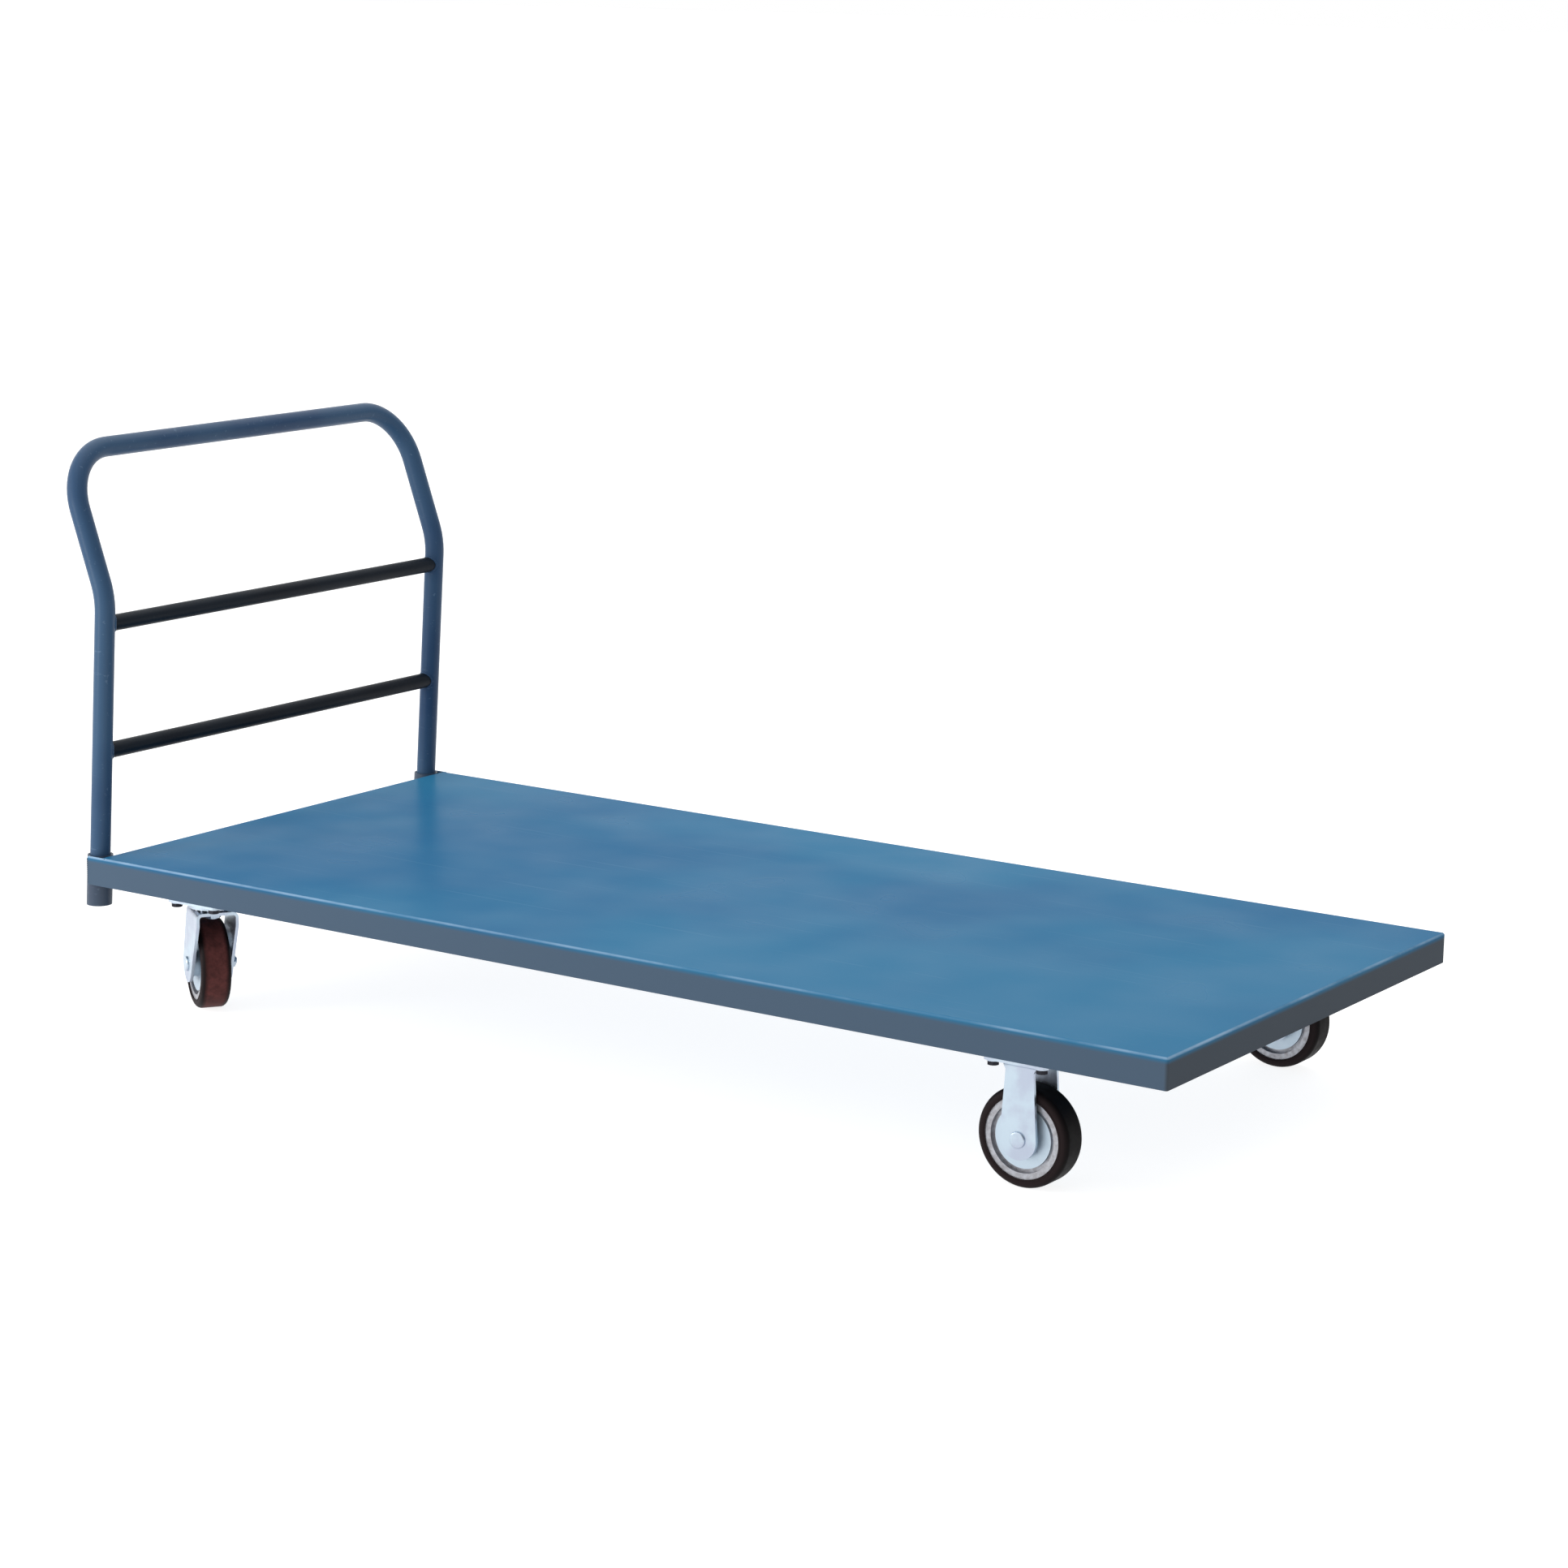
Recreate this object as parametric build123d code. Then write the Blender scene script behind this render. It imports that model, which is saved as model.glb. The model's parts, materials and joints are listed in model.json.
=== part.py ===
from build123d import *
import math
import os

# Flatbed platform truck. Millimetres, +Z up, floor at Z = 0, X along the deck with the handle at -X,
# +Y to the left of a person pushing. The origin is on the floor, under the middle of the whole truck.

# ---- driving dimensions: deck ----
deck_length = 2000.0            # outside of the end skirts
deck_width = 900.0              # outside of the side skirts
skirt_depth = 48.0              # top face to the lower edge of the skirts
sheet_thickness = 2.0
fold_radius = 4.0               # outside radius of the folds
ear_past_socket = 6.5           # the side skirts run on past the socket axes, as ears over the sockets

# ---- driving dimensions: cross members under the sheet ----
caster_channel_width = 130.0
caster_channel_wall = 4.0
stiffener_width = 50.0
stiffener_depth = 30.0
stiffener_wall = 3.0
end_angle_leg = 38.0
end_angle_wall = 4.0
member_end_gap = 3.0            # weld gap from a cross member's end to the skirt

# ---- driving dimensions: handle ----
handle_pipe_diameter = 33.7
handle_pipe_wall = 2.6
handle_height = 664.0           # deck top to the top bar's centre line
top_bar_setback = 63.5          # socket axis at the deck's top back to the top bar's centre line
kink_height = 432.0             # deck top to the corner of the rake
kink_radius = 130.0
handle_corner_radius = 98.0
leg_lean = 3.0                  # degrees that the sockets and legs lean forward
crossbar_diameter = 26.9
crossbar_wall = 2.3
lower_crossbar_height = 174.0   # deck top to the centre line
upper_crossbar_height = 388.0

# ---- driving dimensions: handle sockets ----
leg_clearance = 1.15            # radial, leg in its socket
socket_wall = 3.2
socket_drop = 37.0              # how far a socket stands below the skirts
socket_gap = 0.3                # socket wall to the skirts that it is welded to
leg_end_gap = 5.0               # lower end of a leg up from the socket's lower end
set_screw_diameter = 8.0
set_screw_head = 5.3
set_screw_stand = 2.5           # nut face to the underside of the screw's head

# ---- driving dimensions: casters ----
wheel_diameter = 150.0
tyre_width = 50.0
tyre_shoulder = 10.0
tyre_thickness = 14.0           # rubber on the metal core
tyre_side_gap = 5.0             # tyre to a leg of its fork or bracket
crown_clearance = 22.0          # tyre to the underside of a fork's crown
fork_wall = 5.0
fork_bend_radius = 10.0
bracket_neck_width = 46.0       # across a rigid bracket's leg just under its plate
bracket_shoulder_width = 56.0   # where the leg flares into the plate
bracket_shoulder_height = 13.0
bracket_end_radius = 30.0       # round lower end of a leg
fork_crown_length = 78.0        # along the rolling direction
fork_crown_depth = 22.0         # top of the crown to where the legs start to taper
fork_end_radius = 31.0
caster_plate_length = 102.0     # along X
caster_plate_width = 106.0      # along Y
caster_plate_thickness = 5.0
caster_plate_corner = 6.0
bolt_spacing_length = 80.0
bolt_spacing_width = 82.0
caster_bolt_diameter = 10.0
caster_bolt_head = 6.4
washer_thickness = 2.0
front_caster_inset = 248.0      # free end of the deck to the front axles
rear_caster_inset = 195.0       # handle end of the deck to the kingpins
front_caster_side_inset = 56.0  # side of the deck to the middle of a front wheel
rear_caster_side_inset = 57.0   # side of the deck to a kingpin
swivel_trail = 42.0             # kingpin back to the axle
right_swivel_angle = 144.0      # degrees from +X to the trailing wheel, seen from above
left_swivel_angle = -36.0       # parallel to the right wheel, trailing the other way

# ---- driving dimensions: wheel core, bearing and axle ----
rim_wall = 9.0
rim_face_step = 2.0             # the rim's face lies this far inside the tyre's side
groove_width = 6.0
groove_depth = 8.0              # rim face to the bottom of the groove
disc_step = 3.0                 # rim face to the face of the disc
boss_diameter = 44.0
boss_side_gap = 2.0             # boss face to the fork's leg
bearing_diameter = 35.0
bearing_width = 11.0
core_bore = 26.0
sleeve_diameter = 20.0
axle_diameter = 12.0
axle_head_diameter = 25.0
axle_head_height = 3.5
axle_end_length = 3.0           # bolt end beyond the nut

# ---- driving dimensions: swivel head ----
ball_diameter = 8.0
ball_count = 16
ball_circle_diameter = 60.0
race_width = 20.0
race_height = 9.0               # upper race, from the caster plate down
kingpin_diameter = 16.0
kingpin_head_diameter = 28.0
kingpin_head_height = 3.0
kingpin_nut_height = 10.0
kingpin_end_length = 2.0

# ---- clearances ----
running_clearance = 0.05        # radial, shaft in its bearing
hole_clearance = 0.5            # radial, bolt in a plain hole
thread_clearance = 0.1          # radial, bolt in its nut
ball_clearance = 0.3            # ball to the upper race
nut_face_gap = 0.5              # kingpin nut to the crown

# ---- derived places ----
fork_gap = tyre_width + 2 * tyre_side_gap
crown_underside = wheel_diameter + crown_clearance
crown_height = crown_underside + fork_wall
ball_radius = ball_diameter / 2
ball_seat_depth = ball_radius / 2
ball_z = crown_height + ball_radius - ball_seat_depth
race_underside = ball_z + ball_radius - ball_seat_depth
plate_underside = race_underside + race_height
caster_height = plate_underside + caster_plate_thickness
deck_top = caster_height + skirt_depth
sheet_underside = deck_top - sheet_thickness
handle_radius = handle_pipe_diameter / 2
socket_bore = handle_pipe_diameter + 2 * leg_clearance
socket_diameter = socket_bore + 2 * socket_wall
socket_radius = socket_diameter / 2
wheel_radius = wheel_diameter / 2
socket_setback = socket_radius + socket_gap
skirt_overrun = socket_setback + ear_past_socket
handle_reach = socket_setback + top_bar_setback + handle_radius
deck_middle = handle_reach / 2
handle_end = deck_middle - deck_length / 2
free_end = deck_middle + deck_length / 2
socket_x = handle_end - socket_setback
socket_y = deck_width / 2 - sheet_thickness - socket_gap - socket_radius
socket_bottom = caster_height - socket_drop
fork_width = fork_gap + 2 * fork_wall
front_caster_x = free_end - front_caster_inset
front_caster_y = deck_width / 2 - front_caster_side_inset
rear_caster_x = handle_end + rear_caster_inset
rear_caster_y = deck_width / 2 - rear_caster_side_inset
core_diameter = wheel_diameter - 2 * tyre_thickness
rim_inner_diameter = core_diameter - 2 * rim_wall
groove_inner_diameter = rim_inner_diameter - 2 * groove_width
inside_fold_radius = fold_radius - sheet_thickness


def leg_x(height):
    """X of a handle leg's straight lower centre line at a height above the floor."""
    return socket_x + (height - deck_top) * math.tan(math.radians(leg_lean))


def rod(axis, radius, length):
    """A round bar about the origin, along X, Y or Z."""
    turn = {"x": Rot(0, 90, 0), "y": Rot(90, 0, 0), "z": Rot(0, 0, 0)}[axis]
    return turn * Cylinder(radius, length)


def hexagon_prism(across_flats, height):
    """A hexagon standing on Z = 0, with its upper corners turned down."""
    corner_radius = across_flats / math.sqrt(3)
    turned_down = corner_radius - across_flats / 2
    blank = Pos(0, 0, height / 2) * Cylinder(corner_radius, height)
    blank = chamfer(blank.edges().group_by(Axis.Z)[-1], turned_down / 2, turned_down)
    return blank & extrude(RegularPolygon(corner_radius, 6), height)


def hexagon_bolt(diameter, across_flats, head_height, length):
    """A bolt with its head above Z = 0 and its shank below."""
    shank = Pos(0, 0, -length / 2) * Cylinder(diameter / 2, length)
    return hexagon_prism(across_flats, head_height) + shank


def hexagon_nut(diameter, across_flats, height):
    """A nut standing on Z = 0."""
    hole = Cylinder(diameter / 2 + thread_clearance, 4 * height)
    return hexagon_prism(across_flats, height) - hole


def nut_size(diameter):
    """Width across flats of a common nut or bolt head."""
    return 1.5 * diameter + 1.5


def channel(width, depth, wall, length):
    """A channel along Y with its open side up and its back on Z = 0."""
    section = Pos(0, depth / 2) * Rectangle(width, depth)
    section = fillet(section.vertices().group_by(Axis.Y)[0], 1.5 * wall)
    hollow = Pos(0, wall + depth / 2) * Rectangle(width - 2 * wall, depth)
    hollow = fillet(hollow.vertices().group_by(Axis.Y)[0], 0.5 * wall)
    return extrude(Plane.XZ * (section - hollow), length / 2, both=True)


# ---- deck ----
def folded_sheet():
    """The sheet with its four turned-down skirts, and the side skirts' ears over the sockets."""
    middle_z = deck_top - skirt_depth / 2
    outside = Pos(deck_middle, 0, middle_z) * Box(deck_length, deck_width, skirt_depth)
    folds = outside.edges().group_by(Axis.Z)[-1] + outside.edges().filter_by(Axis.Z)
    outside = fillet(folds, fold_radius)
    inside = Pos(deck_middle, 0, middle_z - sheet_thickness) * Box(
        deck_length - 2 * sheet_thickness, deck_width - 2 * sheet_thickness, skirt_depth
    )
    folds = inside.edges().group_by(Axis.Z)[-1] + inside.edges().filter_by(Axis.Z)
    inside = fillet(folds, inside_fold_radius)
    sheet = outside - inside

    ear_end = handle_end + 2 * fold_radius
    ear_middle = (handle_end - skirt_overrun + ear_end) / 2
    for side in (-1, 1):
        ear = Box(ear_end - handle_end + skirt_overrun, sheet_thickness, skirt_depth)
        ear = Pos(ear_middle, side * (deck_width - sheet_thickness) / 2, middle_z) * ear
        free_corners = ear.edges().filter_by(Axis.Y).group_by(Axis.X)[0]
        sheet += fillet(free_corners, fold_radius / 2)
    return sheet


def caster_channel(x, caster_y):
    """A channel across the deck that a pair of casters bolts to, with their bolt holes."""
    length = deck_width - 2 * (sheet_thickness + member_end_gap)
    depth = skirt_depth - sheet_thickness
    body = Pos(x, 0, caster_height) * channel(caster_channel_width, depth, caster_channel_wall, length)
    hole = Cylinder(caster_bolt_diameter / 2 + hole_clearance, 4 * caster_channel_wall)
    for place in caster_bolt_places(x, caster_y):
        body -= Pos(*place, caster_height) * hole
    return body


def stiffener(x):
    """A lighter channel across the deck, welded to the underside of the sheet."""
    length = deck_width - 2 * (sheet_thickness + member_end_gap)
    body = channel(stiffener_width, stiffener_depth, stiffener_wall, length)
    return Pos(x, 0, sheet_underside - stiffener_depth) * body


def end_angle():
    """The angle iron behind the handle-end skirt, which takes the sockets' load."""
    length = deck_width - 2 * (sheet_thickness + member_end_gap)
    full = Rectangle(end_angle_leg, end_angle_leg, align=(Align.MIN, Align.MAX))
    full = fillet(full.vertices().sort_by_distance((0, 0))[0], inside_fold_radius)
    open_side = Pos(end_angle_wall, -end_angle_wall) * Rectangle(
        end_angle_leg, end_angle_leg, align=(Align.MIN, Align.MAX)
    )
    body = extrude(Plane.XZ * (full - open_side), length / 2, both=True)
    return Pos(handle_end + sheet_thickness, 0, sheet_underside) * body


# ---- handle ----
def handle_route():
    """Centre line of the bent pipe, from the right leg's foot over the top bar to the left leg's foot."""
    foot = socket_bottom + leg_end_gap
    kink = deck_top + kink_height
    top = deck_top + handle_height
    half = [(leg_x(foot), foot), (leg_x(kink), kink), (socket_x - top_bar_setback, top)]
    right = [(x, -socket_y, z) for x, z in half]
    left = [(x, socket_y, z) for x, z in reversed(half)]
    bends = [kink_radius, handle_corner_radius, handle_corner_radius, kink_radius]
    return FilletPolyline(*right, *left, radius=bends)


def along_handle(radius):
    """A solid round bar along the whole handle route."""
    route = handle_route()
    return sweep(Plane(origin=route @ 0, z_dir=route % 0) * Circle(radius), path=route)


def handle_pipe():
    """The U-shaped pipe."""
    return along_handle(handle_radius) - along_handle(handle_radius - handle_pipe_wall)


def crossbar(height):
    """A pipe between the legs, coped to fit round them."""
    outside = rod("y", crossbar_diameter / 2, 2 * socket_y)
    bar = outside - rod("y", crossbar_diameter / 2 - crossbar_wall, 3 * socket_y)
    z = deck_top + height
    return Pos(leg_x(z), 0, z) * bar - along_handle(handle_radius)


def socket_place(side):
    """The frame of a socket: origin on its axis at the set screw, Z up along the leaning leg, X outwards."""
    screw_z = caster_height + skirt_depth / 2
    return Pos(leg_x(screw_z), side * socket_y, screw_z) * Rot(0, leg_lean, 0) * Rot(0, 0, side * 90)


def handle_socket(side):
    """A stub of larger pipe that a leg drops into, cut level at both ends, with a hole for its set screw."""
    tall = 3 * (deck_top - socket_bottom)
    tube = Cylinder(socket_radius, tall) - Cylinder(socket_bore / 2, tall)
    tube -= Pos(-socket_radius, 0, 0) * rod("x", set_screw_diameter / 2 + hole_clearance, socket_radius)
    level = Pos(socket_x, side * socket_y, (socket_bottom + deck_top) / 2) * Box(
        2 * socket_diameter, 2 * socket_diameter, deck_top - socket_bottom
    )
    return (socket_place(side) * tube) & level


def socket_nut(side):
    """The nut welded to the inner side of a socket."""
    nut = hexagon_nut(set_screw_diameter, nut_size(set_screw_diameter), nut_height(set_screw_diameter))
    return socket_place(side) * Pos(-socket_radius, 0, 0) * Rot(0, -90, 0) * nut


def set_screw(side):
    """The screw that pinches a leg in its socket."""
    head_seat = socket_radius + nut_height(set_screw_diameter) + set_screw_stand
    screw = hexagon_bolt(
        set_screw_diameter, nut_size(set_screw_diameter), set_screw_head, head_seat - handle_radius
    )
    return socket_place(side) * Pos(-head_seat, 0, 0) * Rot(0, -90, 0) * screw


def nut_height(diameter):
    """Height of a common nut."""
    return 0.8 * diameter


# ---- caster mounting ----
def caster_bolt_places(x, y):
    """Centres of the eight plate bolts of the two casters under one channel."""
    places = []
    for side in (-1, 1):
        for along in (-1, 1):
            for across in (-1, 1):
                places.append(
                    (x + along * bolt_spacing_length / 2, side * y + across * bolt_spacing_width / 2)
                )
    return places


def all_caster_bolt_places():
    """Centres of all the plate bolts."""
    return caster_bolt_places(front_caster_x, front_caster_y) + caster_bolt_places(rear_caster_x, rear_caster_y)


def caster_bolt():
    """A bolt that comes up from below, through washer, plate and channel, into its weld nut."""
    grip = washer_thickness + caster_plate_thickness + caster_channel_wall
    length = grip + nut_height(caster_bolt_diameter) + caster_bolt_diameter / 4
    bolt = hexagon_bolt(caster_bolt_diameter, nut_size(caster_bolt_diameter), caster_bolt_head, length)
    return Pos(0, 0, plate_underside - washer_thickness) * Rot(180, 0, 0) * bolt


def caster_washer():
    """A washer between a bolt head and the caster plate."""
    ring = Cylinder(caster_bolt_diameter, washer_thickness)
    ring -= Cylinder(caster_bolt_diameter / 2 + hole_clearance / 2, 2 * washer_thickness)
    return Pos(0, 0, plate_underside - washer_thickness / 2) * ring


def weld_nut():
    """A nut welded to the inside of the channel's back."""
    nut = hexagon_nut(caster_bolt_diameter, nut_size(caster_bolt_diameter), nut_height(caster_bolt_diameter))
    return Pos(0, 0, caster_height + caster_channel_wall) * nut


def caster_plate():
    """The flat plate on top of a caster, with its four bolt holes. Origin on the floor."""
    plate = Box(caster_plate_length, caster_plate_width, caster_plate_thickness)
    plate = fillet(plate.edges().filter_by(Axis.Z), caster_plate_corner)
    hole = Cylinder(caster_bolt_diameter / 2 + hole_clearance, 2 * caster_plate_thickness)
    for along in (-1, 1):
        for across in (-1, 1):
            plate -= Pos(along * bolt_spacing_length / 2, across * bolt_spacing_width / 2, 0) * hole
    return Pos(0, 0, caster_height - caster_plate_thickness / 2) * plate


# ---- fork and bracket ----
def yoke(top, side_outline, axle_x):
    """A strip bent to an upside-down U and cut to an outline seen from the side, drilled for the axle."""
    tall = 2 * top
    strip = Pos(0, top - tall / 2) * Rectangle(fork_width, tall)
    strip = fillet(strip.vertices().group_by(Axis.Y)[-1], fork_bend_radius)
    hollow = Pos(0, top - fork_wall - tall / 2) * Rectangle(fork_gap, tall)
    hollow = fillet(hollow.vertices().group_by(Axis.Y)[-1], fork_bend_radius - fork_wall)
    strip = extrude(Plane.YZ * (strip - hollow), 2 * wheel_radius, both=True)
    body = strip & extrude(Plane.XZ * side_outline, fork_width, both=True)
    return body - Pos(axle_x, 0, wheel_radius) * rod("y", axle_diameter / 2 + hole_clearance, 2 * fork_width)


def rigid_bracket():
    """Plate and yoke of a front caster, welded into one piece."""
    neck_top = plate_underside - bracket_shoulder_height
    leg = Pos(0, neck_top - 1) * Rectangle(bracket_neck_width, 2)
    leg_end = Pos(0, wheel_radius) * Circle(bracket_end_radius)
    shoulder = Polygon(
        (-bracket_shoulder_width / 2, plate_underside),
        (-bracket_shoulder_width / 2, plate_underside - fork_wall),
        (-bracket_neck_width / 2, neck_top - 1),
        (bracket_neck_width / 2, neck_top - 1),
        (bracket_shoulder_width / 2, plate_underside - fork_wall),
        (bracket_shoulder_width / 2, plate_underside),
        align=None,
    )
    outline = make_hull((leg + leg_end).edges()) + shoulder
    return caster_plate() + yoke(plate_underside, outline, 0)


def swivel_plate():
    """Plate of a rear caster with the upper ball race and the seat of the kingpin's head."""
    race = Cylinder((ball_circle_diameter + race_width) / 2, plate_underside - race_underside)
    race -= Cylinder((ball_circle_diameter - race_width) / 2, 2 * skirt_depth)
    race = Pos(0, 0, (plate_underside + race_underside) / 2) * race
    groove = Pos(0, 0, ball_z) * Torus(ball_circle_diameter / 2, ball_radius + ball_clearance)
    shank_hole = Pos(0, 0, caster_height) * Cylinder(kingpin_diameter / 2 + running_clearance, skirt_depth)
    head_seat = Pos(0, 0, caster_height - kingpin_head_height / 2) * Cylinder(
        kingpin_head_diameter / 2 + hole_clearance, kingpin_head_height
    )
    return caster_plate() + race - groove - shank_hole - head_seat


def swivel_fork():
    """Fork of a rear caster, with the lower ball race pressed into its crown."""
    crown = Pos(0, crown_height - fork_crown_depth / 2) * Rectangle(fork_crown_length, fork_crown_depth)
    leg_end = Pos(swivel_trail, wheel_radius) * Circle(fork_end_radius)
    outline = make_hull((crown + leg_end).edges())
    body = yoke(crown_height, outline, swivel_trail)
    body -= Pos(0, 0, ball_z) * Torus(ball_circle_diameter / 2, ball_radius + running_clearance)
    return body - Pos(0, 0, crown_height) * Cylinder(kingpin_diameter / 2 + running_clearance, 4 * fork_wall)


def swivel_balls():
    """The ring of balls between the races."""
    step = 360 / ball_count
    balls = []
    for number in range(ball_count):
        balls.append(Rot(0, 0, number * step) * Pos(ball_circle_diameter / 2, 0, ball_z) * Sphere(ball_radius))
    return Compound(balls)


def kingpin():
    """The pin that the fork turns about, with its flat head let into the plate."""
    end = crown_underside - nut_face_gap - kingpin_nut_height - kingpin_end_length
    shank_top = caster_height - kingpin_head_height
    head = Pos(0, 0, caster_height - kingpin_head_height / 2) * Cylinder(
        kingpin_head_diameter / 2, kingpin_head_height
    )
    return head + Pos(0, 0, (shank_top + end) / 2) * Cylinder(kingpin_diameter / 2, shank_top - end)


def kingpin_nut():
    """The nut under the crown, just clear of it."""
    nut = hexagon_nut(kingpin_diameter, nut_size(kingpin_diameter), kingpin_nut_height)
    return Pos(0, 0, crown_underside - nut_face_gap) * Rot(180, 0, 0) * nut


# ---- wheel, with its axle along Y through the origin ----
def turned(section):
    """A round piece about the Y axis from a section with X along the axle and Y outwards."""
    return revolve(Plane.YZ * section, Axis.Y)


def band(width, inner_diameter, outer_diameter):
    """Section of a ring that is centred on the wheel's middle plane."""
    middle = (inner_diameter + outer_diameter) / 4
    return Pos(0, middle) * Rectangle(width, (outer_diameter - inner_diameter) / 2)


boss_width = fork_gap - 2 * boss_side_gap
rim_width = tyre_width - 2 * rim_face_step


def tyre():
    """The rubber tyre, moulded onto the core, with round shoulders."""
    section = band(tyre_width, core_diameter, wheel_diameter)
    section = fillet(section.vertices().group_by(Axis.Y)[-1], tyre_shoulder)
    return turned(section)


def wheel_core():
    """The metal core: stepped rim, groove, raised disc and boss, bored for two bearings."""
    section = band(rim_width, rim_inner_diameter, core_diameter)
    section += band(rim_width - 2 * groove_depth, groove_inner_diameter, rim_inner_diameter)
    section += band(rim_width - 2 * disc_step, core_bore, groove_inner_diameter)
    section += band(boss_width, core_bore, boss_diameter)
    section -= bearing_sections()
    return turned(section)


def bearing_sections():
    """Sections of the two bearing seats, at the ends of the boss."""
    seat = band(bearing_width, 0, bearing_diameter)
    out = (boss_width - bearing_width) / 2
    return Pos(-out, 0) * seat + Pos(out, 0) * seat


def wheel_bearings():
    """The two bearings, one in each end of the boss, running on the sleeve."""
    bore = sleeve_diameter + 2 * running_clearance
    ring = band(bearing_width, bore, bearing_diameter)
    out = (boss_width - bearing_width) / 2
    return Compound([turned(Pos(-out, 0) * ring), turned(Pos(out, 0) * ring)])


def axle_sleeve():
    """The spacer tube that the bolt clamps between the legs."""
    return turned(band(fork_gap, axle_diameter + 2 * hole_clearance, sleeve_diameter))


def axle_bolt():
    """The axle bolt along +Y, with a low domed head on the -Y leg."""
    head = rod("y", axle_head_diameter / 2, axle_head_height)
    head = fillet(head.edges().group_by(Axis.Y)[0], 0.7 * axle_head_height)
    head = Pos(0, -(fork_width + axle_head_height) / 2, 0) * head
    length = fork_width + nut_height(axle_diameter) + axle_end_length
    shank = Pos(0, (length - fork_width) / 2, 0) * rod("y", axle_diameter / 2, length)
    end = shank.edges().group_by(Axis.Y)[-1]
    return head + chamfer(end, axle_end_length / 2)


def axle_nut():
    """The axle bolt's nut on the +Y leg."""
    nut = hexagon_nut(axle_diameter, nut_size(axle_diameter), nut_height(axle_diameter))
    return Pos(0, fork_width / 2, 0) * Rot(-90, 0, 0) * nut


# ---- assembly: one node each ----
nodes = {
    "deck_sheet": folded_sheet(),
    "handle_end_angle": end_angle(),
    "front_caster_channel": caster_channel(front_caster_x, front_caster_y),
    "rear_caster_channel": caster_channel(rear_caster_x, rear_caster_y),
    "handle_tube": handle_pipe(),
    "upper_crossbar": crossbar(upper_crossbar_height),
    "lower_crossbar": crossbar(lower_crossbar_height),
    "left_handle_socket": handle_socket(1),
    "right_handle_socket": handle_socket(-1),
    "handle_set_screws": Compound([set_screw(side) for side in (-1, 1)]),
    "handle_socket_nuts": Compound([socket_nut(side) for side in (-1, 1)]),
}

stiffener_names = ["rear_stiffener", "middle_stiffener", "front_stiffener"]
stiffener_pitch = (front_caster_x - rear_caster_x) / (len(stiffener_names) + 1)
for number, name in enumerate(stiffener_names, start=1):
    nodes[name] = stiffener(rear_caster_x + number * stiffener_pitch)

for name, make in (("caster_bolts", caster_bolt), ("caster_washers", caster_washer), ("caster_weld_nuts", weld_nut)):
    piece = make()
    nodes[name] = Compound([Pos(*place, 0) * piece for place in all_caster_bolt_places()])

wheel_parts = {
    "tyre": tyre(),
    "wheel_core": wheel_core(),
    "wheel_bearings": wheel_bearings(),
    "axle_sleeve": axle_sleeve(),
    "axle_bolt": axle_bolt(),
    "axle_nut": axle_nut(),
}
rigid_parts = {"bracket": rigid_bracket()}
swivel_plate_parts = {
    "swivel_plate": swivel_plate(),
    "kingpin": kingpin(),
    "kingpin_nut": kingpin_nut(),
}
swivel_fork_parts = {"fork": swivel_fork(), "swivel_balls": swivel_balls()}

front_casters = {"front_left": (1, 180.0), "front_right": (-1, 0.0)}
rear_casters = {"rear_left": (1, left_swivel_angle), "rear_right": (-1, right_swivel_angle)}

for corner, (side, turn) in front_casters.items():
    place = Pos(front_caster_x, side * front_caster_y, 0) * Rot(0, 0, turn)
    for name, piece in rigid_parts.items():
        nodes[f"{corner}_{name}"] = place * piece
    for name, piece in wheel_parts.items():
        nodes[f"{corner}_{name}"] = place * Pos(0, 0, wheel_radius) * piece

for corner, (side, turn) in rear_casters.items():
    pivot = Pos(rear_caster_x, side * rear_caster_y, 0)
    place = pivot * Rot(0, 0, turn)
    for name, piece in swivel_plate_parts.items():
        nodes[f"{corner}_{name}"] = pivot * piece
    for name, piece in swivel_fork_parts.items():
        nodes[f"{corner}_{name}"] = place * piece
    for name, piece in wheel_parts.items():
        nodes[f"{corner}_{name}"] = place * Pos(swivel_trail, 0, wheel_radius) * Rot(0, 0, 180) * piece

os.makedirs("parts", exist_ok=True)
for name, shape in nodes.items():
    export_step(shape, f"parts/{name}.step")
print(len(nodes), "nodes")
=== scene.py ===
# %% [markdown]
# # A flatbed platform truck
#
# A platform truck is a sheet steel deck with turned-down skirts, a bent pipe handle and four casters.
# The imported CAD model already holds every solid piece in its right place, in metres. This lesson gives
# those pieces their finishes, adds what the solids leave out, such as weld beads, mould lines and threads,
# and sets up the studio. Nothing in the model is moved or scaled.

import json
import math

import bpy
from mathutils import Matrix, Vector

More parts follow.
